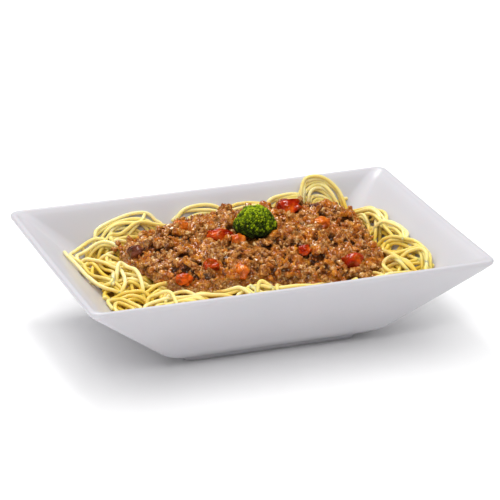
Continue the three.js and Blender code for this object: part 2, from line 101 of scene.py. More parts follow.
# The lip: how far each section lies inside the rim's edge, and below its top.
LIP_PROFILE = [(0, 2.6), (0.02, 1.2), (0.6, 0.3), (1.5, 0.04), (2.9, 0), (4.1, 0.3), (5.2, 1.3)]

# The food, in millimetres.
NOODLE_RADIUS = 1.34
NOODLE_SIDES = 8
WALL_CLEARANCE = 0.6  # between the food and the walls
SAUCE_BED = 41
SAUCE_X = 12
SAUCE_Y = 17
SAUCE_RIM = 8.5
SAUCE_TILT = 3
SAUCE_RISE = 17
GRID_STEP = 0.7
ROUTE_STEP = 1.6
BELOW_RIM = 60  # the core fills the dish where its walls are lower than this
CORE_DROP = 8  # how far the core lies below the level of the pasta
CORE_GAP_X = 1.4  # between the core and the walls
CORE_GAP_Y = 1.3
CORE_NARROWING = 0.0105  # for each millimetre that it is lowered

# The camera, at the photograph's viewing angle.
CAMERA_TARGET = Vector((0.00192, 0, 0.05437))
CAMERA_DISTANCE = 1.96115
CAMERA_AZIMUTH = math.radians(-19.82)
CAMERA_ELEVATION = math.radians(21.29)
CAMERA_LENS = 208.35

# The studio: each light's place, width, power, and whether it shows in reflections.
WORLD_STRENGTH = 0.45
LIGHT_AIM = Vector((0, 0, 0.04))
LIGHTS = {
    "overhead": ((0.1, 0.1, 2.3), 4.1, 71, False),
    "left": ((-1.3, -0.5, 0.6), 0.3, 1.9, True),
    "front": ((-0.5, -1.1, 1.1), 0.4, 4.1, True),
    "back": ((0.0, 0.85, 1.2), 0.4, 7, True),
}


def mix(a, b, share):
    return a + (b - a) * share


def smooth_step(low, high, value):
    share = np.clip((value - low) / (high - low), 0, 1)
    return share * share * (3 - 2 * share)


# Shared tools: finishing, joining and materials.


def deselect():
    bpy.ops.object.select_all(action="DESELECT")


def dress(piece, slot, finish, *nodes):
    """Gives a finished piece its material and its body, and hides the nodes that it stands for. The slot
    is not used.
    """
    piece.data.materials.clear()
    piece.data.materials.append(finish)
    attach(piece, "root")
    if nodes:
        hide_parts(*nodes)
    return piece


def subdivide(piece, levels):
    modifier = piece.modifiers.new("Rounding", "SUBSURF")
    modifier.levels = levels
    modifier.render_levels = levels


def set_values(mesh, name, values):
    """Gives each point of a mesh a number that its material reads by name."""
    attribute = mesh.attributes.new(name, "FLOAT", "POINT")
    attribute.data.foreach_set("value", values.astype(np.float32))


def lump_block(points, faces, tone):
    return {"points": points, "faces": [faces], "values": {"tone": np.full(len(points), tone)}}


def ring_quads(rows, around):
    """The faces between rings of points that follow each other."""
    i = np.arange(rows - 1)[:, None] * around
    j = np.arange(around)[None, :]
    k = (j + 1) % around
    return np.stack([i + j, i + around + j, i + around + k, i + k], axis=-1).reshape(-1, 4)


def joined(name, blocks):
    """One smooth mesh in metres from blocks of points in millimetres, faces and point values."""
    points = np.concatenate([block["points"] for block in blocks]) * MM
    faces = []
    start = 0
    for block in blocks:
        for group in block["faces"]:
            faces.extend((np.asarray(group) + start).tolist())
        start += len(block["points"])
    mesh = bpy.data.meshes.new(name)
    mesh.from_pydata(points.tolist(), [], faces)
    mesh.shade_smooth()
    for value in blocks[0].get("values", {}):
        set_values(mesh, value, np.concatenate([block["values"][value] for block in blocks]))
    piece = bpy.data.objects.new(name, mesh)
    bpy.context.scene.collection.objects.link(piece)
    return piece


class Finish:
    """A node material, with short calls for the nodes that the finishes below use."""

    def __init__(self, name, **sockets):
        self.material = bpy.data.materials.new(name)
        self.material.use_nodes = True
        self.nodes = self.material.node_tree.nodes
        self.links = self.material.node_tree.links
        self.shader = self.nodes["Principled BSDF"]
        for socket, value in sockets.items():
            self.shader.inputs[socket.replace("_", " ")].default_value = value
        self.place = self.nodes.new("ShaderNodeTexCoord").outputs["Object"]

    def add(self, kind, inputs=None, **settings):
        node = self.nodes.new("ShaderNode" + kind)
        for name, value in settings.items():
            setattr(node, name, value)
        for name, value in (inputs or {}).items():
            if isinstance(value, bpy.types.NodeSocket):
                self.links.new(value, node.inputs[name])
            else:
                node.inputs[name].default_value = value
        return node

    def noise(self, scale, detail=3, roughness=0.55, distortion=0.0):
        inputs = {"Vector": self.place, "Scale": scale, "Detail": detail}
        inputs.update({"Roughness": roughness, "Distortion": distortion})
        return self.add("TexNoise", inputs).outputs["Fac"]

    def value(self, name):
        return self.add("Attribute", attribute_name=name).outputs["Fac"]

    def math(self, operation, a, b):
        return self.add("Math", {0: a, 1: b}, operation=operation).outputs[0]

    def ramp(self, factor, stops):
        node = self.add("ValToRGB", {"Fac": factor})
        elements = node.color_ramp.elements
        while len(elements) < len(stops):
            elements.new(0.5)
        for element, (position, colour) in zip(elements, stops):
            element.position = position
            element.color = colour
        return node.outputs["Color"]

    def mask(self, factor, low, high, most=1.0):
        """Nothing up to one level of a factor, and most from another."""
        return self.ramp(factor, [(low, (0, 0, 0, 1)), (high, (most, most, most, 1))])

    def weigh(self, a, b, share):
        """One factor by its share, and another by the rest."""
        return self.math("ADD", self.math("MULTIPLY", a, share), self.math("MULTIPLY", b, 1 - share))

    def blend(self, factor, a, b):
        """One colour where the factor is 0, and another where it is 1."""
        return self.add("Mix", {0: factor, 6: a, 7: b}, data_type="RGBA").outputs[2]

    def bump(self, height, distance, strength=1.0, normal=None):
        inputs = {"Height": height, "Distance": distance, "Strength": strength}
        if normal:
            inputs["Normal"] = normal
        return self.add("Bump", inputs).outputs["Normal"]

    def join(self, **outputs):
        for socket, output in outputs.items():
            self.links.new(output, self.shader.inputs[socket.replace("_", " ")])
        return self.material


def srgb(red, green, blue):
    """A colour given as it looks on a screen, 0 to 255, as the linear numbers that a shader takes."""
    channels = []
    for level in (red, green, blue):
        share = level / 255
        channels.append(share / 12.92 if share <= 0.04045 else ((share + 0.055) / 1.055) ** 2.4)
    return (*channels, 1)


# The porcelain dish.


def outer_ring(share):
    """Half sizes, height and corner radius of the outside, from the underside (0) to the lip (1)."""
    return (
        mix(UNDER_LENGTH, RIM_LENGTH, share) / 2,
        mix(UNDER_WIDTH, RIM_WIDTH, share) / 2,
        mix(UNDER_HEIGHT, DISH_HEIGHT - LIP_HEIGHT, share),
        mix(UNDER_CORNER, RIM_CORNER, share),
    )


def wall_ring(share, inset_x=0.0, inset_y=0.0):
    """Half sizes, height and corner radius of a wall section, from the bend (0) to the rim (1)."""
    return (
        mix(BEND_LENGTH, RIM_LENGTH, share) / 2 - inset_x,
        mix(BEND_WIDTH, RIM_WIDTH, share) / 2 - inset_y,
        mix(BEND_HEIGHT, DISH_HEIGHT, share),
        mix(BEND_CORNER, RIM_CORNER, share),
    )


def bend(a, b, c, steps):
    """Sections along a curve that leaves the first towards the second, and ends at the third."""
    rings = []
    for i in range(steps + 1):
        t = i / steps
        rings.append(tuple(mix(mix(p, q, t), mix(q, r, t), t) for p, q, r in zip(a, b, c)))
    return rings


def inside_bend(clearance=0.0):
    floor = FLOOR_HEIGHT + clearance
    inset_x = WALL_GAP_X + clearance * LEAN_X
    inset_y = WALL_GAP_Y + clearance * LEAN_Y
    knee = wall_ring(0.02, inset_x, inset_y)
    start = (BEND_LENGTH / 2 - FLOOR_INSET_X, BEND_WIDTH / 2 - FLOOR_INSET_Y, floor, FLOOR_CORNER)
    return bend(start, (knee[0], knee[1], floor, knee[3]), wall_ring(0.34, inset_x, inset_y), 5)


def dish_rings():
    """Sections of the dish: the recess, the foot, the outside, the lip and then the inside."""
    *foot, foot_end = (
        (FOOT_LENGTH / 2 + out_x, FOOT_WIDTH / 2 + out_y, height, FOOT_CORNER + rounder)
        for out_x, out_y, height, rounder in [*FOOT_PROFILE, FOOT_END]
    )
    low = outer_ring(0.12)
    half_x, half_y, height, corner = wall_ring(1)
    return [
        *foot,
        *bend(foot_end, (*low[:2], KNEE_HEIGHT, low[3]), outer_ring(0.2), 6),
        *(outer_ring(share) for share in (0.4, 0.7, 0.95)),
        (half_x - 0.25, half_y - 0.25, DISH_HEIGHT - LIP_HEIGHT + 0.2, corner),
        *((half_x - inset, half_y - inset * 0.85, height - drop, corner) for inset, drop in LIP_PROFILE),
        *(wall_ring(share, WALL_GAP_X, WALL_GAP_Y) for share in (0.94, 0.7, 0.45)),
        *reversed(inside_bend()),
    ]


def add_section(ring, number):
    """In edit mode, adds a rounded rectangle of loose edges, whose points carry the ring's number."""
    half_x, half_y, height, corner = ring
    bpy.ops.mesh.select_all(action="DESELECT")
    bpy.ops.mesh.primitive_plane_add(size=2)
    bpy.ops.transform.resize(value=(half_x * MM, half_y * MM, 1))
    bpy.ops.transform.translate(value=(0, 0, height * MM))
    bpy.ops.mesh.bevel(offset=corner * MM, segments=CORNER_SEGMENTS, affect="VERTICES")
    shell = bmesh.from_edit_mesh(bpy.context.object.data)
    layer = shell.verts.layers.int.get("ring") or shell.verts.layers.int.new("ring")
    for vertex in shell.verts:
        if vertex.select:
            vertex[layer] = number
    bpy.ops.mesh.delete(type="ONLY_FACE")
    shell = bmesh.from_edit_mesh(bpy.context.object.data)
    layer = shell.verts.layers.int["ring"]
    for edge in shell.edges:
        own = all(vertex[layer] == number for vertex in edge.verts)
        edge.select_set(own and edge.calc_length() > LONG_EDGE * MM)
    bmesh.update_edit_mesh(bpy.context.object.data)
    bpy.ops.mesh.subdivide(number_cuts=SIDE_CUTS)


def select_sections(*numbers):
    bpy.ops.mesh.select_mode(type="VERT")
    bpy.ops.mesh.select_all(action="DESELECT")
    shell = bmesh.from_edit_mesh(bpy.context.object.data)
    layer = shell.verts.layers.int["ring"]
    for vertex in shell.verts:
        vertex.select_set(vertex[layer] in numbers)
    shell.select_flush_mode()
    bmesh.update_edit_mesh(bpy.context.object.data)


def shell_of(name, rings):
    """A closed shell through level sections, from the middle of the first to the middle of the last."""
    deselect()
    bpy.ops.mesh.primitive_plane_add(size=2)
    piece = bpy.context.object
    piece.name = name
    bpy.ops.object.mode_set(mode="EDIT")
    bpy.ops.mesh.select_all(action="SELECT")
    bpy.ops.mesh.delete(type="VERT")
    for number, ring in enumerate(rings, 1):
        add_section(ring, number)
    for number in range(1, len(rings)):
        select_sections(number, number + 1)
        bpy.ops.mesh.bridge_edge_loops()
    for end in (1, len(rings)):
        select_sections(end)
        bpy.ops.mesh.edge_face_add()
        for inset in END_INSETS:
            bpy.ops.mesh.inset(thickness=inset * MM)
    bpy.ops.mesh.select_all(action="SELECT")
    bpy.ops.mesh.normals_make_consistent(inside=False)
    bpy.ops.object.mode_set(mode="OBJECT")
    piece.data.shade_smooth()
    return piece


def sag_rim(piece):
    """Lets the middle of each side hang a little below the corners, more towards the rim."""
    for vertex in piece.data.vertices:
        x, y, z = vertex.co / MM
        raised = max(0, z - BEND_HEIGHT) / (DISH_HEIGHT - BEND_HEIGHT)
        half_x, half_y = wall_ring(raised)[:2]
        middle = max(1 - (x / half_x) ** 2, 1 - (y / half_y) ** 2, 0)
        vertex.co.z -= RIM_SAG * raised ** 2 * middle * MM


def porcelain():
    glaze = Finish(
        "glazed porcelain", Roughness=0.34, Specular_IOR_Level=0.3, Coat_Weight=0.1,
        Coat_Roughness=0.12, Subsurface_Weight=0.08, Subsurface_Scale=0.004,
    )
    colour = glaze.ramp(glaze.noise(9, 2), [(0.3, srgb(196, 194, 199)), (0.7, srgb(200, 198, 202))])
    waves = glaze.bump(glaze.noise(22, 1), 0.0006, 0.25)
    relief = glaze.bump(glaze.noise(900, 2), 0.00002, 0.3, waves)
    return glaze.join(Base_Color=colour, Normal=relief)


def make_dish():
    dish = shell_of("porcelain_dish", dish_rings())
    sag_rim(dish)
    subdivide(dish, 2)
    return dress(dish, "porcelain", porcelain(), "dish")


# Levels inside the dish, as functions over the plan. They take and give millimetres.


def wall_height(x, y):
    """Height of the inside of the dish over points of the plan."""
    inset_x = WALL_GAP_X + WALL_CLEARANCE * LEAN_X
    inset_y = WALL_GAP_Y + WALL_CLEARANCE * LEAN_Y
    low = np.zeros_like(x)
    high = np.full_like(x, 1.15)
    for _ in range(16):
        share = (low + high) / 2
        half_x, half_y, _, corner = wall_ring(share, inset_x, inset_y)
        dx = np.abs(x) - half_x + corner
        dy = np.abs(y) - half_y + corner
        away = np.hypot(np.maximum(dx, 0), np.maximum(dy, 0)) + np.minimum(np.maximum(dx, dy), 0)
        outside = away > corner
        low = np.where(outside, share, low)
        high = np.where(outside, high, share)
    return mix(BEND_HEIGHT, DISH_HEIGHT, high)


def ledge_height(x, y):
    """Level of the pasta round the sauce: low in the left back corner, high at the right and the back."""
    corner = np.maximum(0, 1 - np.hypot(x + 100, y - 76) / 46)
    front = smooth_step(15, 50, -y) * (1 - smooth_step(70, 95, x))
    return 43.5 + 3 * x / 110 + 1.2 * y / 80 - 9 * corner - 2 * front


# The sauce's outline seen from above, anticlockwise from its right end, in millimetres.
OUTLINE = [
    (97, 10), (100, 44), (97, 67), (74, 77), (38, 77.5), (5, 76), (-32, 71), (-58, 61),
    (-77, 39), (-70, 7), (-61, -23), (-43, -33), (-10, -34), (20, -42), (58, -46), (86, -36),
]


def outline_table():
    """Angles and distances of a smooth curve through the outline's points, from the sauce's middle."""
    knots = np.array(OUTLINE, float) - (SAUCE_X, SAUCE_Y)
    before = np.roll(knots, 1, axis=0)
    after = np.roll(knots, -1, axis=0)
    beyond = np.roll(knots, -2, axis=0)
    t = np.linspace(0, 1, 24, endpoint=False)[None, :, None]
    a, b, c, d = (group[:, None, :] for group in (before, knots, after, beyond))
    curve = b + (c - a) * t / 2
    curve = curve + (2 * a - 5 * b + 4 * c - d) * t ** 2 / 2
    curve = curve + (3 * b - a - 3 * c + d) * t ** 3 / 2
    curve = curve.reshape(-1, 2)
    angle = np.arctan2(curve[:, 1], curve[:, 0])
    order = np.argsort(angle)
    return angle[order], np.hypot(curve[:, 0], curve[:, 1])[order]


OUTLINE_ANGLES, OUTLINE_REACH = outline_table()


def sauce_polar(x, y):
    """Distance from the middle of the sauce, and the outline's distance in the same direction."""
    away = np.hypot(x - SAUCE_X, y - SAUCE_Y)
    angle = np.arctan2(y - SAUCE_Y, x - SAUCE_X)
    return away, np.interp(angle, OUTLINE_ANGLES, OUTLINE_REACH, period=2 * math.pi)


def beyond_sauce(x, y):
    away, reach = sauce_polar(x, y)
    return away - reach


def sauce_height(x, y):
    away, reach = sauce_polar(x, y)
    share = np.minimum(1, away / reach)
    edge = np.sqrt(np.maximum(0, 1 - share ** 8))
    tilt = SAUCE_TILT * (y - SAUCE_Y) / 60
    return SAUCE_BED + 2 + edge * (SAUCE_RIM + tilt + (SAUCE_RISE - SAUCE_RIM) * (1 - share ** 2.1))


class Heap:
    """The height of what lies in the dish so far, on a grid over the plan, in millimetres."""

    def __init__(self):
        self.columns = int(RIM_LENGTH / GRID_STEP) + 1
        self.rows = int(RIM_WIDTH / GRID_STEP) + 1
        x = np.arange(self.columns) * GRID_STEP - RIM_LENGTH / 2
        y = np.arange(self.rows) * GRID_STEP - RIM_WIDTH / 2
        self.x, self.y = np.meshgrid(x, y)
        self.heights = wall_height(self.x, self.y)

    def raise_to(self, level):
        self.heights = np.maximum(self.heights, level)

    def cells(self, x, y, radius):
        """The cells under balls at some points, and how far their surfaces lie above their middles."""
        span = int(radius / GRID_STEP)
        steps = np.arange(-span, span + 1)
        across, up = (grid.ravel() for grid in np.meshgrid(steps, steps))
        away = np.hypot(across, up) * GRID_STEP
        near = away <= radius
        column = np.rint((np.asarray(x) + RIM_LENGTH / 2) / GRID_STEP).astype(int)[:, None] + across[near]
        row = np.rint((np.asarray(y) + RIM_WIDTH / 2) / GRID_STEP).astype(int)[:, None] + up[near]
        cap = np.sqrt(radius ** 2 - away[near] ** 2)
        return np.clip(row, 0, self.rows - 1), np.clip(column, 0, self.columns - 1), cap

    def level(self, x, y):
        row, column, _ = self.cells(x, y, GRID_STEP * 0.5)
        return self.heights[row, column][:, 0]

    def rest(self, x, y, radius):
        """Height of the middle of a ball that rests on the heap at each point."""
        row, column, cap = self.cells(x, y, radius)
        return (self.heights[row, column] + cap).max(axis=1)

    def cover(self, x, y, z, radius):
        row, column, cap = self.cells(x, y, radius)
        np.maximum.at(self.heights, (row, column), np.asarray(z)[:, None] + cap)

    def lay(self, route, radius, tuck, arch=0.0):
        """Lays a noodle along a route. It bridges small gaps, and its ends tuck under."""
        x, y = route.T
        line = self.rest(x, y, radius)
        line = line + arch * np.sin(np.linspace(0, math.pi, len(line)))
        floor = line.copy()
        for _ in range(40):
            line[1:-1] = np.maximum(floor[1:-1], (line[:-2] + 2 * line[1:-1] + line[2:]) / 4)
        for _ in range(8):
            line[1:-1] = (line[:-2] + 2 * line[1:-1] + line[2:]) / 4
        from_end = np.minimum(np.arange(len(line)), np.arange(len(line))[::-1]) * ROUTE_STEP
        line = line - tuck * (1 - smooth_step(0, 11, from_end))
        line = np.maximum(line, wall_height(x, y) + radius)
        self.cover(x, y, line, radius * 0.96)
        return np.column_stack([x, y, line])


# The noodles. Each bundle is part of an ellipse seen from above: centre, half sizes, start and sweep in
# degrees, number of strands, their spacing, and how far they arch off what they lie on.
BUNDLES = [
    ((-78, 26), (29, 46), 125, 115, 3, 3.6, 0),
    ((88, 37), (20, 31), 62, -114, 6, 2.6, 0),
    ((97, -36), (16, 35), 84, -140, 4, 3.4, 0),
    ((-66, -62), (24, 18), 165, -145, 4, 3.2, 0),
    ((26, -46), (40, 15), 198, 92, 2, 3.0, 0),
    ((-60, 78), (13, 3.5), -12, 204, 4, 1.7, 0),
    ((-61, 78), (24, 6), -12, 204, 3, 2.0, 0),
    ((-66, 77), (17, 10), 170, 130, 2, 3.2, 0),
    ((-72, 96), (28, 24), -46, -58, 1, 3.0, 1),
    ((-70, 62), (17, 9), 160, -150, 2, 3.0, 0),
    ((-86, 55), (17, 18), -8, 205, 3, 3.0, 0),
    ((-100, 20), (11, 29), 105, -190, 3, 3.2, 0),
    ((-100, -42), (8, 16), 200, -260, 2, 3.6, 0),
    ((-94, -40), (19, 19), 115, -100, 3, 3.8, 0),
    ((-50, -60), (34, 22), 80, -85, 3, 3.8, 0),
    ((-14, 66), (62, 10), 20, 140, 4, 2.2, 0),
    ((-7, 79.5), (18.5, 4), 0, 180, 5, 1.7, 0),
    ((31, 79), (15.5, 3.4), 0, 180, 5, 1.7, 0),
    ((60, 80), (16, 3.6), 0, 180, 5, 1.7, 0),
    ((84, 74), (11, 13.5), -32, 232, 10, 1.4, 0),
    ((124, 40), (21, 54), 168, 62, 2, 3.4, 0),
    ((128, -30), (34, 46), 150, 60, 3, 3.6, 0),
    ((101, -46), (12, 17), 115, -150, 2, 3.6, 0),
    ((102, 4), (13, 17), 75, -160, 3, 3.2, 0),
]

# The bundles that lie over the edge of the sauce.
OVER_BUNDLES = [
    ((-86, -9), (8, 26), 165, -235, 1, 3.0, 3),
    ((-60, -48), (12, 18), 175, -165, 1, 3.0, 3),
    ((-78, -50), (10, 20), 150, -150, 1, 3.0, 3),
    ((-7, -56), (6, 9), 190, -200, 1, 3.0, 1),
    ((9, -58), (10, 10), 190, -200, 1, 3.0, 1),
    ((88, -47), (7, 8), 20, 310, 1, 3.0, 2),
]

# The loose noodles below them: how many, and the ranges of their centres in x and y, their half sizes, and
# their turn in radians.
FILLS = [
    (150, (-118, 118), (-80, 84), (9, 34), (9, 34), (0, 3)),
    (60, (-98, 110), (-80, -58), (12, 36), (3, 9), (-0.35, 0.35)),
]
UNDER_SAUCE = 9  # how far a loose noodle runs in under the sauce
LEDGE_ROOM = 3.5  # the loose noodles stay this far below the level of the pasta
LOOSE_RIPPLE = 0.05
SHORTEST_LOOSE = 18  # points along the route
SHORTEST_STRAND = 12


def ellipse_route(centre, size, start, sweep, turn, ripple, phase):
    """Points along part of an ellipse with a slight wave in it, evenly spaced."""
    rx, ry = size
    length = math.radians(abs(sweep)) * math.hypot(rx, ry) * math.sqrt(0.5)
    angle = np.radians(start + sweep * np.linspace(0, 1, max(8, round(length / ROUTE_STEP))))
    wave = 1 + ripple * np.sin(5 * angle + phase)
    ex = rx * wave * np.cos(angle)
    ey = ry * wave * np.sin(angle)
    x = centre[0] + ex * math.cos(turn) - ey * math.sin(turn)
    y = centre[1] + ex * math.sin(turn) + ey * math.cos(turn)
    return np.column_stack([x, y])


def longest_run(route, keep):
    """The longest stretch of a route over which a test holds."""
    edges = np.flatnonzero(np.diff(np.concatenate([[0], keep.astype(int), [0]])))
    if len(edges) == 0:
        return route[:0]
    runs = edges.reshape(-1, 2)
    first, last = runs[np.argmax(runs[:, 1] - runs[:, 0])]
    return route[first:last]


def held_in(route, rim_gap, front_gap=0):
    """The route with its points drawn in from the rim, as a noodle slides back down the wall."""
    route = route.copy()
    for _ in range(30):
        x, y = route.T
        limit = DISH_HEIGHT - rim_gap - 9 * smooth_step(80, 95, -x) - 4 * smooth_step(88, 98, x)
        limit = limit - front_gap * smooth_step(50, 72, -y)
        route[wall_height(x, y) > limit] *= 0.988
    for _ in range(5 if len(route) < 45 else 20):
        route[1:-1] = (route[:-2] + 2 * route[1:-1] + route[2:]) / 4
    return route


def outside_sauce(route, under):
    """The longest stretch of a route that runs no further in under the sauce than is given."""
    return longest_run(route, beyond_sauce(*route.T) > -under)


def noodle_block(line, radius, tone):
    """A closed tube with round ends along a line, with its tone, how low it lies in the pile, for painted
    shade, and how near the sauce is.
    """
    sides = NOODLE_SIDES
    ahead = np.gradient(line, axis=0)
    ahead /= np.linalg.norm(ahead, axis=1)[:, None]
    side = np.cross(ahead, (0, 0, 1))
    side /= np.linalg.norm(side, axis=1)[:, None]
    over = np.cross(side, ahead)
    first = [line[0] - ahead[0] * radius * out for out in (0.85, 0.5)]
    last = [line[-1] + ahead[-1] * radius * out for out in (0.5, 0.85)]
    middles = np.concatenate([first, line, last])
    across = np.concatenate([[side[0]] * 2, side, [side[-1]] * 2])
    up = np.concatenate([[over[0]] * 2, over, [over[-1]] * 2])
    width = np.full(len(middles), radius)
    width[[0, -1]] *= 0.35
    width[[1, -2]] *= 0.82
    turn = 2 * math.pi * np.arange(sides) / sides
    ring = across[:, None, :] * np.cos(turn)[None, :, None] + up[:, None, :] * np.sin(turn)[None, :, None]
    points = (middles[:, None, :] + ring * width[:, None, None]).reshape(-1, 3)
    last_ring = len(points) - sides
    caps = [list(range(sides)), [last_ring + n for n in reversed(range(sides))]]
    near = 1 - smooth_step(-2, 9, beyond_sauce(points[:, 0], points[:, 1]))
    # How low a point lies below the level of the pasta: it sets the painted shade low in the pile.
    low = 1 - smooth_step(-1, 7, points[:, 2] - ledge_height(points[:, 0], points[:, 1]))
    values = {"tone": np.full(len(points), tone), "near_sauce": near, "pile_shade": low}
    return {"points": points, "faces": [ring_quads(len(middles), sides), caps], "values": values}


def fill_noodles(heap, draw, count, across, along, half_x, half_y, turns):
    """Loose noodles that fill the ring between the sauce and the wall, where it is still low."""
    blocks = []
    tries = 0
    while len(blocks) < count and tries < 12 * count:
        tries += 1
        centre = (draw.uniform(*across), draw.uniform(*along))
        size = (draw.uniform(*half_x), draw.uniform(*half_y))
        sweep = draw.uniform(90, 260)
        start = draw.uniform(0, 360)
        turn = draw.uniform(*turns)
        route = ellipse_route(centre, size, start, sweep, turn, LOOSE_RIPPLE, draw.uniform(0, 6))
        route = outside_sauce(held_in(route, rim_gap=13, front_gap=18), UNDER_SAUCE)
        if len(route) < SHORTEST_LOOSE:
            continue
        x, y = route.T
        if np.mean(heap.level(x, y) - ledge_height(x, y)) > -LEDGE_ROOM:
            continue
        line = heap.lay(route, NOODLE_RADIUS, tuck=4)
        blocks.append(noodle_block(line, NOODLE_RADIUS * draw.uniform(0.94, 1.05), draw.random()))
    return blocks


def bundle_noodles(heap, draw, bundles, under):
    blocks = []
    for centre, size, start, sweep, strands, gap, arch in bundles:
        for strand in range(strands):
            offset = (strand - (strands - 1) / 2) * gap
            grown = (size[0] + offset, size[1] + offset)
            loose = min(grown) * 0.14
            stray = (centre[0] + draw.uniform(-loose, loose), centre[1] + draw.uniform(-loose, loose))
            first = start + 4 * strand + draw.uniform(-16, 16)
            turn = math.radians(draw.uniform(-9, 9))
            sweep_here = sweep * draw.uniform(0.8, 1.12)
            ripple = draw.uniform(0.02, 0.07)
            route = ellipse_route(stray, grown, first, sweep_here, turn, ripple, draw.uniform(0, 6))
            route = outside_sauce(held_in(route, rim_gap=6), under)
            if len(route) < SHORTEST_STRAND:
                continue
            line = heap.lay(route, NOODLE_RADIUS, tuck=3, arch=arch)
            blocks.append(noodle_block(line, NOODLE_RADIUS * draw.uniform(0.95, 1.05), draw.random()))
    return blocks


def pasta():
    flour = Finish(
        "cooked pasta", Roughness=0.36, Specular_IOR_Level=0.3, Subsurface_Weight=0.8,
        Subsurface_Scale=0.0014, Subsurface_Radius=(1.0, 0.9, 0.35), Coat_Weight=0.25,
        Coat_Roughness=0.12,
    )
    colour = flour.ramp(
        flour.weigh(flour.value("tone"), flour.noise(260, 3), 0.55),
        [(0.15, srgb(232, 208, 112)), (0.5, srgb(241, 223, 144)), (0.85, srgb(248, 235, 182))],
    )
    # Strands low in the pile turn a darker, more saturated yellow: painted shade between and under the
    # noodles.
    deep_shade = flour.math("MULTIPLY", flour.value("pile_shade"), 0.75)
    colour = flour.blend(deep_shade, colour, srgb(226, 190, 48))
    blotches = flour.mask(flour.noise(120, 3), 0.42, 0.68)
    stain = flour.math("MULTIPLY", flour.math("MULTIPLY", flour.value("near_sauce"), blotches), 0.8)
    colour = flour.blend(stain, colour, srgb(176, 96, 22))
    relief = flour.bump(flour.noise(700, 2), 0.00008, 0.5)
    return flour.join(Base_Color=colour, Normal=relief)


def core_rings():
    inset_x = WALL_GAP_X + CORE_GAP_X
    inset_y = WALL_GAP_Y + CORE_GAP_Y
    return [
        *inside_bend(1.0),
        wall_ring(0.45, inset_x, inset_y),
        wall_ring(0.54, inset_x, inset_y),
        wall_ring(0.56, inset_x + 4, inset_y + 4),
    ]


def shaded_core_finish():
    mash = Finish("pasta below in painted shade", Roughness=0.5, Subsurface_Weight=0.2, Subsurface_Scale=0.002)
    strands = mash.noise(90, 4, distortion=2)
    # Dark orange-yellow: the pasta's own colour darkened as painted shade low in the pile, streaked by
    # noise.
    colour = mash.ramp(strands, [(0.3, srgb(120, 72, 10)), (0.7, srgb(196, 146, 40))])
    return mash.join(Base_Color=colour, Normal=mash.bump(strands, 0.001))


def make_core():
    """What fills the dish below the noodles, lowered from the level of the pasta, in a darker colour that
    is painted shade.
    """
    core = shell_of("pasta_core", core_rings())
    for vertex in core.data.vertices:
        x, y, z = vertex.co / MM
        lowered = max(0, z - ledge_height(x, y) + CORE_DROP)
        narrower = 1 - CORE_NARROWING * lowered
        vertex.co = Vector((x * narrower, y * narrower, z - lowered)) * MM
    return dress(core, "pasta", shaded_core_finish(), "spaghetti")


# The meat sauce.
SAUCE_AROUND = 150
SAUCE_SHARES = 40
SAUCE_SINK = 1.5  # the sauce lies this far below the tops of the meat
LUMPS = 1300
CRUMBS = 300
LUMPS_X = (-82, 104)  # the range in which lumps are tried
LUMPS_Y = (-60, 82)
CRUMB_SHAPES = 8
LUMP_SCALES = ((1.0, 2.2), (0.6, 1.15), (0.4, 0.85))
LUMP_HOLD = 0.8  # how much of its half size a lump keeps clear of others
SEAT_SHARE = 0.76  # how much of a vegetable piece the meat leaves bare
MERGE_SIZE = 0.78

# Places beside the mound where sauce shows between the noodles: middle and reach.
SPILLS = [(-68, 55, 11), (-88, 5, 7), (73, -49, 12), (50, -52, 11), (30, -51, 9)]


def mound_wave(x, y):
    """Slow heaps and hollows of the sauce."""
    return 2 * noise.noise((x / 17, y / 17, 3)) + 0.8 * noise.noise((x / 7, y / 7, 8))


def mound_level(x, y):
    return float(sauce_height(x, y)) - SAUCE_SINK + mound_wave(x, y)


def mound_block(heap):
    """The thick sauce under the meat, a mound that follows the sauce's outline, closed underneath."""
    angle = 2 * math.pi * np.arange(SAUCE_AROUND) / SAUCE_AROUND
    reach = np.interp(angle, OUTLINE_ANGLES, OUTLINE_REACH, period=2 * math.pi)
    shares = np.sin(np.linspace(0.02, math.pi / 2, SAUCE_SHARES))
    points = []
    for share in shares:
        for turn, far in zip(angle, reach):
            ragged = 1 + 0.03 * noise.noise((math.cos(turn) * 6, math.sin(turn) * 6, 5)) * share
            x = SAUCE_X + far * share * ragged * math.cos(turn)
            y = SAUCE_Y + far * share * ragged * math.sin(turn)
            points.append((x, y, max(mound_level(x, y), SAUCE_BED)))
    rim = np.array(points[-SAUCE_AROUND:])
    middle = (SAUCE_X, SAUCE_Y, mound_level(SAUCE_X, SAUCE_Y))
    under = rim * (0.97, 0.97, 0) + (SAUCE_X * 0.03, SAUCE_Y * 0.03, SAUCE_BED - 2)
    points = np.concatenate([points, under, [middle, (SAUCE_X, SAUCE_Y, SAUCE_BED - 2)]])
    rows = len(shares) + 1
    top = rows * SAUCE_AROUND
    last = (rows - 1) * SAUCE_AROUND
    steps = [(n, (n + 1) % SAUCE_AROUND) for n in range(SAUCE_AROUND)]
    fan = [(top, a, b) for a, b in steps]
    base = [(top + 1, last + b, last + a) for a, b in steps]
    inside = beyond_sauce(heap.x, heap.y) < -1
    levels = [mound_level(x, y) for x, y in zip(heap.x[inside], heap.y[inside])]
    ground = heap.heights.copy()
    ground[inside] = levels
    heap.raise_to(ground)
    return {"points": points, "faces": [ring_quads(rows, SAUCE_AROUND), fan, base]}


def ball(subdivisions):
    """A ball one unit in half size, to be shaped and then taken apart."""
    deselect()
    bpy.ops.mesh.primitive_ico_sphere_add(subdivisions=subdivisions, radius=1)
    return bpy.context.object


def taken_apart(piece):
    """The points and faces of a piece, which goes."""
    points = np.array([vertex.co[:] for vertex in piece.data.vertices])
    faces = np.array([face.vertices[:] for face in piece.data.polygons])
    bpy.data.objects.remove(piece)
    return points, faces


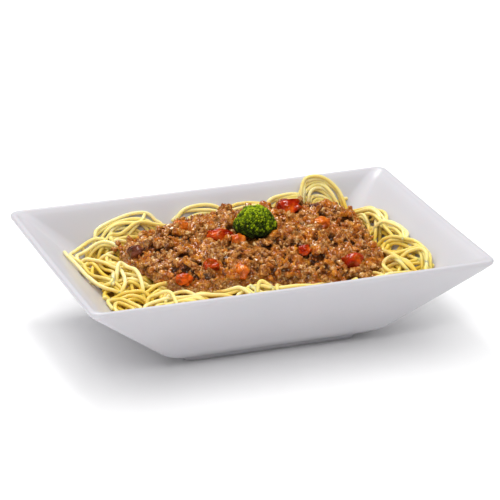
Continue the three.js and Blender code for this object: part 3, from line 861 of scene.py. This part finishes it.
def crumb_shapes(draw):
    """A few rough lumps of minced meat, each a dented ball of eighty faces."""
    shapes = []
    for number in range(CRUMB_SHAPES):
        lump = ball(2)
        for vertex in lump.data.vertices:
            spot = vertex.co * 1.3 + Vector((number * 9, 0, 0))
            vertex.co *= 1 + 0.55 * noise.noise(spot) + draw.uniform(-0.06, 0.06)
        shapes.append(taken_apart(lump))
    return shapes


def about_z(angle):
    cos = math.cos(angle)
    sin = math.sin(angle)
    return np.array([[cos, -sin, 0], [sin, cos, 0], [0, 0, 1]])


def turned(points, draw):
    """Points turned every way at random."""
    a, b, c = (draw.uniform(0, 2 * math.pi) for _ in range(3))
    about_x = np.array([[1, 0, 0], [0, math.cos(b), -math.sin(b)], [0, math.sin(b), math.cos(b)]])
    return points @ (about_z(a) @ about_x @ about_z(c)).T


def lump_half(draw):
    pick = draw.random()
    if pick < 0.3:
        return draw.uniform(0.9, 1.6)
    return draw.uniform(1.6, 2.8) if pick < 0.82 else draw.uniform(2.8, 4.6)


def crumb_half(draw):
    return draw.uniform(0.5, 0.9) if draw.random() < 0.65 else draw.uniform(0.9, 1.5)


def in_sauce(x, y, margin):
    """Whether a point lies in the sauce, or in one of the spills beside it."""
    if beyond_sauce(x, y) < margin:
        return True
    return any(math.hypot(x - far, y - near) < reach + margin for far, near, reach in SPILLS)


def lowest_spot(heap, draw, half, seats):
    """Of a few places in the sauce, clear of the vegetables, the one that most needs meat."""
    best = None
    while best is None:
        for _ in range(3):
            x = draw.uniform(*LUMPS_X)
            y = draw.uniform(*LUMPS_Y)
            if not in_sauce(x, y, draw.uniform(-3.5, 1.2) - half * 0.5):
                continue
            if any(((x - seat[0]) / seat[2]) ** 2 + ((y - seat[1]) / seat[3]) ** 2 < 1 for seat in seats):
                continue
            level = heap.rest([x], [y], half * LUMP_HOLD)[0]
            above = level - sauce_height(x, y)
            if best is None or above < best[3]:
                best = (x, y, level, above)
    return best


def crumb_blocks(heap, draw, count, half_of, proud, sunk):
    """Lumps of meat dropped in the sauce, most of them where they don't yet stand proud of it."""
    shapes = crumb_shapes(draw)
    seats = vegetable_seats()
    blocks = []
    while len(blocks) < count:
        half = half_of(draw)
        x, y, level, above = lowest_spot(heap, draw, half, seats)
        if above > proud + 0.8 * draw.random() and draw.random() < 0.8:
            continue
        z = level - half * sunk
        points, faces = draw.choice(shapes)
        scale = half * np.array([draw.uniform(*limits) for limits in LUMP_SCALES])
        placed = turned(points * scale, draw) + (x, y, z)
        heap.cover([x], [y], [z], half * LUMP_HOLD)
        blocks.append(lump_block(placed, faces, draw.random()))
    return blocks


def hollows(points):
    """How far each point lies below the level round it, from 0 to 1, and less at the mound's edge: the
    share of painted shade in the meat's creases.
    """
    column = (points[:, 0] + RIM_LENGTH / 2).astype(int)
    row = (points[:, 1] + RIM_WIDTH / 2).astype(int)
    top = np.zeros((int(RIM_WIDTH) + 2, int(RIM_LENGTH) + 2))
    np.maximum.at(top, (row, column), points[:, 2])
    filled = (top > 0).astype(float)
    for _ in range(8):
        for axis in (0, 1):
            top = (np.roll(top, 1, axis) + 2 * top + np.roll(top, -1, axis)) / 4
            filled = (np.roll(filled, 1, axis) + 2 * filled + np.roll(filled, -1, axis)) / 4
    mean = top / np.maximum(filled, 0.01)
    inside = smooth_step(1, 11, -beyond_sauce(points[:, 0], points[:, 1]))
    return smooth_step(0.5, 2.7, mean[row, column] - points[:, 2]) * mix(0.3, 1, inside)


def sauce_cover(spot):
    """How thickly sauce coats the meat at a point, from 0, bare, to 1."""
    cover = 0.5 + 1.6 * noise.noise(spot / 8 + Vector((7, 0, 0))) + 0.9 * noise.noise(spot / 3.2)
    return min(1, max(0, cover))


def grain_of(spot, cover):
    """Relief of the meat: grains and narrow creases on slower swellings, which the sauce fills in."""
    grains = 0.6 - noise.voronoi(spot / 1.8)[0][0]
    crease = min(1, 4 * abs(noise.noise(spot / 3.4 + Vector((3, 9, 2)))))
    fine = 0.6 * grains + 0.7 * noise.noise(spot / 1.2)
    slow = 2.4 * noise.noise(spot / 7.5) + 1.0 * noise.noise(spot / 4)
    return slow + (1.4 * crease - 0.8) * (1 - 0.3 * cover) + fine * (1 - 0.75 * cover)


def merge_meat(name, blocks):
    """One body of meat and sauce: the lumps grown together, with a rough grain."""
    piece = joined(name, [{"points": block["points"], "faces": block["faces"]} for block in blocks])
    deselect()
    piece.select_set(True)
    bpy.context.view_layer.objects.active = piece
    merge = piece.modifiers.new("Merge", "REMESH")
    merge.mode = "VOXEL"
    merge.voxel_size = MERGE_SIZE * MM
    bpy.ops.object.modifier_apply(modifier=merge.name)
    bpy.ops.object.mode_set(mode="EDIT")
    bpy.ops.mesh.select_all(action="SELECT")
    bed = (0, 0, SAUCE_BED * MM)
    bpy.ops.mesh.bisect(plane_co=bed, plane_no=(0, 0, 1), use_fill=True, clear_inner=True)
    bpy.ops.object.mode_set(mode="OBJECT")
    count = len(piece.data.vertices)
    points = np.empty(count * 3)
    outward = np.empty(count * 3)
    piece.data.vertices.foreach_get("co", points)
    piece.data.vertices.foreach_get("normal", outward)
    points = points.reshape(-1, 3) / MM
    covers = np.array([sauce_cover(Vector(point)) for point in points])
    relief = np.array([grain_of(Vector(point), cover) for point, cover in zip(points, covers)])
    points += outward.reshape(-1, 3) * relief[:, None]
    piece.data.vertices.foreach_set("co", (points * MM).ravel())
    piece.data.shade_smooth()
    # The share of painted shade in the creases, and how thickly sauce covers the meat.
    set_values(piece.data, "hollow_shade", hollows(points))
    set_values(piece.data, "cover", covers)
    return piece


def meat_colour(finish, tone):
    """Browned meat by its tone, lighter and darker in its grain. The palest cream is partly pale browned
    meat and partly painted highlight.
    """
    return finish.ramp(
        finish.weigh(tone, finish.noise(620, 3, 0.65), 0.55),
        [
            (0.2, srgb(78, 32, 2)),
            (0.4, srgb(148, 82, 26)),
            (0.58, srgb(212, 148, 74)),
            # Pale cream: partly light meat, partly painted highlight.
            (0.76, srgb(255, 224, 160)),
        ],
    )


def wet_relief(finish):
    """The smoother surface of the sauce film over the meat."""
    return finish.bump(finish.noise(420, 1), 0.0008, 0.7)


def meat_relief(finish):
    relief = finish.bump(finish.noise(1300, 3, 0.7), 0.0005, 1.0)
    return finish.bump(finish.noise(560, 3, 0.6), 0.0012, 0.8, relief)


def meat_finish(name, roughness):
    """The start of a finish for meat under a wet film of sauce."""
    return Finish(
        name, Roughness=roughness, Specular_IOR_Level=0.15, Coat_Weight=1, Coat_Roughness=0.07,
        Coat_IOR=1.7,
    )


def crumbs_finish():
    meat = meat_finish("minced meat", 0.4)
    colour = meat_colour(meat, meat.value("tone"))
    sauced = meat.mask(meat.noise(120, 3), 0.4, 0.6)
    colour = meat.blend(meat.math("MULTIPLY", sauced, 0.6), colour, srgb(190, 84, 10))
    return meat.join(Base_Color=colour, Normal=meat_relief(meat), Coat_Normal=wet_relief(meat))


def merged_finish():
    meat = meat_finish("meat in sauce", 0.34)
    colour = meat_colour(meat, meat.mask(meat.noise(330, 4, 0.7, 0.6), 0.3, 0.7))
    sauce = meat.ramp(
        meat.noise(260, 3, 0.6),
        [(0.32, srgb(122, 42, 4)), (0.5, srgb(196, 100, 10)), (0.68, srgb(240, 162, 42))],
    )
    colour = meat.blend(meat.math("MULTIPLY", meat.value("cover"), 0.85), colour, sauce)
    # Creases and dips of the meat darken to near-black brown: painted shade.
    colour = meat.blend(meat.math("MULTIPLY", meat.value("hollow_shade"), 0.92), colour, srgb(64, 25, 3))
    return meat.join(Base_Color=colour, Normal=meat_relief(meat), Coat_Normal=wet_relief(meat))


# Pieces of vegetable, each where its solid is.
TOPPINGS = ("tomato", "carrot", "mushroom")


def chunk(name, node, draw, squareness, dents):
    """A soft-edged chunk that fills its node's box: a cube, cut up, half rounded, dented and creased."""
    low, high = (Vector(corner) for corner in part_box(node))
    middle = (low + high) / 2
    half = (high - low) / 2
    deselect()
    bpy.ops.mesh.primitive_cube_add(size=2)
    piece = bpy.context.object
    piece.name = name
    bpy.ops.object.mode_set(mode="EDIT")
    bpy.ops.mesh.select_all(action="SELECT")
    bpy.ops.mesh.subdivide(number_cuts=9)
    bpy.ops.transform.tosphere(value=1 - squareness)
    bpy.ops.object.mode_set(mode="OBJECT")
    seed = draw.uniform(0, 90)
    for vertex in piece.data.vertices:
        spot = vertex.co * 1.1 + Vector((seed, seed, 0))
        crease = math.exp(-40 * noise.noise(spot * 1.9) ** 2)
        vertex.co *= 1 + dents * noise.noise(spot) - 0.3 * dents * crease + 0.07 * noise.noise(spot * 4)
    reach = [max(abs(vertex.co[axis]) for vertex in piece.data.vertices) for axis in range(3)]
    for vertex in piece.data.vertices:
        for axis in range(3):
            vertex.co[axis] = middle[axis] + vertex.co[axis] * half[axis] / reach[axis]
    piece.data.shade_smooth()
    subdivide(piece, 1)
    return piece


def kind_of(node):
    return node.rsplit("_", 1)[0]


def topping_nodes():
    return [node for node in sorted(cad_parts) if kind_of(node) in TOPPINGS]


def vegetable_seats():
    """Middles and half sizes of the vegetable pieces and the floret over the plan, less an overlap."""
    seats = []
    for node in [*topping_nodes(), "broccoli_floret"]:
        low, high = (np.array(corner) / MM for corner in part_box(node))
        middle = (low + high) / 2
        half = (high - low) / 2 * SEAT_SHARE
        seats.append((*middle[:2], *half[:2]))
    return seats


def with_sauce(finish, colour):
    """The colour of a vegetable piece with patches of sauce on it."""
    film = finish.mask(finish.noise(210, 3, 0.6), 0.5, 0.66, 0.8)
    return finish.blend(film, colour, srgb(132, 56, 8))


def tomato_flesh():
    flesh = Finish(
        "tomato", Roughness=0.24, Specular_IOR_Level=0.15, Coat_Weight=0.5, Coat_Roughness=0.03,
        Subsurface_Weight=0.15, Subsurface_Scale=0.003, Subsurface_Radius=(1.0, 0.25, 0.1),
    )
    patches = flesh.noise(95, 3)
    stops = [(0.32, srgb(100, 8, 0)), (0.5, srgb(166, 34, 0)), (0.7, srgb(218, 94, 12))]
    colour = flesh.ramp(patches, stops)
    relief = flesh.bump(flesh.noise(300, 2), 0.0012, 0.7)
    return flesh.join(Base_Color=with_sauce(flesh, colour), Normal=relief, Coat_Normal=relief)


def carrot_flesh():
    flesh = Finish(
        "carrot", Roughness=0.26, Specular_IOR_Level=0.3, Coat_Weight=0.6, Coat_Roughness=0.05,
        Subsurface_Weight=0.3, Subsurface_Scale=0.002, Subsurface_Radius=(1.0, 0.4, 0.1),
    )
    patches = flesh.noise(130, 3)
    colour = flesh.ramp(patches, [(0.35, srgb(192, 78, 6)), (0.7, srgb(230, 132, 34))])
    relief = flesh.bump(flesh.noise(320, 3), 0.001, 0.7)
    return flesh.join(Base_Color=with_sauce(flesh, colour), Normal=relief, Coat_Normal=relief)


def mushroom_flesh():
    flesh = Finish("mushroom", Roughness=0.3, Specular_IOR_Level=0.35, Coat_Weight=0.1, Coat_Roughness=0.1)
    patches = flesh.noise(140, 3)
    colour = flesh.ramp(patches, [(0.35, srgb(62, 24, 14)), (0.7, srgb(122, 62, 38))])
    relief = flesh.bump(flesh.noise(380, 3), 0.0005, 0.6)
    return flesh.join(Base_Color=colour, Normal=relief)


def make_toppings(draw):
    kinds = {
        "tomato": (tomato_flesh(), 0.2, 0.42),
        "carrot": (carrot_flesh(), 0.45, 0.3),
        "mushroom": (mushroom_flesh(), 0.2, 0.35),
    }
    for node in topping_nodes():
        kind = kind_of(node)
        finish, squareness, dents = kinds[kind]
        dress(chunk(f"{kind}_piece_{node[-1]}", node, draw, squareness, dents), kind, finish, node)


# The floret: a large dome with rings of small ones on it, all packed with buds.
BUD_SPACING = 1.5
BUD_OVERLAP = 0.86  # a bud that lies further than this inside another dome is left out

# Each ring's number of domes, and how far out, how far up and how large they are as shares of the floret.
FLORET_DOMES = [(8, 0.58, 0.36, 0.38), (5, 0.34, 0.64, 0.36)]


def floret_balls():
    """Middles and half sizes of the floret's domes, in millimetres, worked out from the floret's box."""
    low, high = (np.array(corner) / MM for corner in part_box("broccoli_floret"))
    middle = (low + high) / 2
    radius = (high[0] - low[0]) / 2 / 1.04
    height = high[2] - low[2]
    core = np.array([middle[0], middle[1], low[2] + height * 0.44])
    balls = [(core, radius * np.array([0.86, 0.82, 0.66]))]
    for count, out, up, half in FLORET_DOMES:
        for number in range(count):
            angle = 2 * math.pi * (number + up) / count
            wide = radius * half
            spot = middle[:2] + radius * out * np.array([math.cos(angle), math.sin(angle) * 0.92])
            size = np.array([wide, wide, height * half * 0.66])
            balls.append((np.array([*spot, low[2] + height * up]), size))
    bottom = np.min([spot - size for spot, size in balls], axis=0)
    top = np.max([spot + size for spot, size in balls], axis=0)
    stretch = (high - low - (1.8, 1.8, height * 0.08)) / (top - bottom)
    return [(high - 1 - (top - spot) * stretch, size * stretch) for spot, size in balls]


def ball_points(count):
    """Evenly spread directions, on a spiral from pole to pole."""
    index = np.arange(count) + 0.5
    height = 1 - 2 * index / count
    turn = index * math.pi * (3 - math.sqrt(5))
    flat = np.sqrt(1 - height ** 2)
    return np.column_stack([flat * np.cos(turn), flat * np.sin(turn), height])


def make_floret(draw):
    balls = floret_balls()
    points, faces = taken_apart(ball(4))
    # The domes under the buds take the ramp's darkest greens: painted shade in the gaps between the buds.
    heads = [lump_block(middle + points * size * 0.93, faces, 0.0) for middle, size in balls]
    dress(joined("floret_domes", heads), "broccoli", broccoli("floret in painted shade below its buds"), "broccoli_floret")
    points, faces = taken_apart(ball(2))
    buds = []
    for number, (middle, size) in enumerate(balls):
        others = balls[:number] + balls[number + 1:]
        area = 4 * math.pi * (size[0] * size[1] * size[2]) ** (2 / 3)
        for way in ball_points(int(area / BUD_SPACING ** 2)):
            spot = middle + way * size * 0.97 + [draw.uniform(-0.12, 0.12) for _ in range(3)]
            hidden = any(np.sum(((spot - other) / reach) ** 2) < BUD_OVERLAP for other, reach in others)
            if hidden or way[2] < -0.7:
                continue
            bud = draw.uniform(0.6, 1.05)
            # Buds that face up are lighter and those that face down darker, with a random spread: painted
            # light and shade.
            tone = np.clip(0.5 + 0.45 * way[2] + draw.uniform(-0.3, 0.3), 0, 1)
            buds.append(lump_block(spot + points * bud, faces, tone))
    dress(joined("floret_buds", buds), "broccoli", broccoli("buds of broccoli with painted light and shade"), "broccoli_floret")


def broccoli(name):
    green = Finish(
        name, Roughness=0.5, Specular_IOR_Level=0.2, Subsurface_Weight=0.15,
        Subsurface_Scale=0.001, Subsurface_Radius=(0.5, 1.0, 0.1),
    )
    # From near-black green, painted shade, through the buds' own greens, to yellow-green that is partly
    # painted light on their upper sides.
    colour = green.ramp(
        green.weigh(green.value("tone"), green.noise(240, 2), 0.7),
        [
            (0.25, srgb(8, 16, 0)),
            (0.5, srgb(44, 62, 0)),
            (0.7, srgb(100, 122, 2)),
            (0.92, srgb(172, 190, 16)),
        ],
    )
    return green.join(Base_Color=colour)


# The scene round the object.


def make_camera():
    camera = bpy.data.objects.new("camera", bpy.data.cameras.new("camera"))
    camera.data.lens = CAMERA_LENS
    camera.data.sensor_width = 36
    camera.data.clip_end = 20
    level = math.cos(CAMERA_ELEVATION)
    across = math.sin(CAMERA_AZIMUTH) * level
    back = Vector((across, -math.cos(CAMERA_AZIMUTH) * level, math.sin(CAMERA_ELEVATION)))
    camera.location = CAMERA_TARGET + back * CAMERA_DISTANCE
    camera.rotation_euler = back.to_track_quat("Z", "Y").to_euler()
    bpy.context.scene.collection.objects.link(camera)
    bpy.context.scene.camera = camera


def soft_light(name, place, size, power, mirrored):
    lamp = bpy.data.lights.new(name, "AREA")
    lamp.shape = "SQUARE"
    lamp.size = size
    lamp.energy = power
    light = bpy.data.objects.new(name, lamp)
    light.location = place
    light.visible_glossy = mirrored
    light.rotation_euler = (Vector(place) - LIGHT_AIM).to_track_quat("Z", "Y").to_euler()
    bpy.context.scene.collection.objects.link(light)


def make_studio():
    deselect()
    bpy.ops.mesh.primitive_plane_add(size=12)
    floor = bpy.context.object
    floor.name = "floor"
    paper = Finish("pale floor", Roughness=0.8)
    colour = paper.ramp(paper.noise(3, 2), [(0.3, srgb(247, 247, 247)), (0.7, srgb(250, 250, 250))])
    floor.data.materials.append(paper.join(Base_Color=colour))
    world = bpy.data.worlds.new("studio")
    world.use_nodes = True
    background = world.node_tree.nodes["Background"].inputs
    background["Color"].default_value = (1, 1, 1, 1)
    background["Strength"].default_value = WORLD_STRENGTH
    world.cycles_visibility.glossy = False
    bpy.context.scene.world = world
    for name, values in LIGHTS.items():
        soft_light(name, *values)
    bpy.context.scene.view_settings.view_transform = "Standard"


def main():
    draw = random.Random(12)
    make_camera()
    make_studio()
    make_dish()
    make_core()
    heap = Heap()
    heap.raise_to(np.where(heap.heights < BELOW_RIM, ledge_height(heap.x, heap.y) - CORE_DROP, 0))
    under = [block for fill in FILLS for block in fill_noodles(heap, draw, *fill)]
    under += bundle_noodles(heap, draw, BUNDLES, under=3)
    lumps = [mound_block(heap)] + crumb_blocks(heap, draw, LUMPS, lump_half, proud=1.2, sunk=0.45)
    dress(merge_meat("meat_in_sauce", lumps), "sauce", merged_finish(), "meat_sauce")
    crumbs = crumb_blocks(heap, draw, CRUMBS, crumb_half, proud=2.4, sunk=0.3)
    dress(joined("loose_crumbs", crumbs), "sauce", crumbs_finish(), "meat_sauce")
    over = bundle_noodles(heap, random.Random(4), OVER_BUNDLES, under=30)
    dress(joined("noodles", under + over), "pasta", pasta(), "spaghetti")
    make_toppings(draw)
    make_floret(draw)


main()
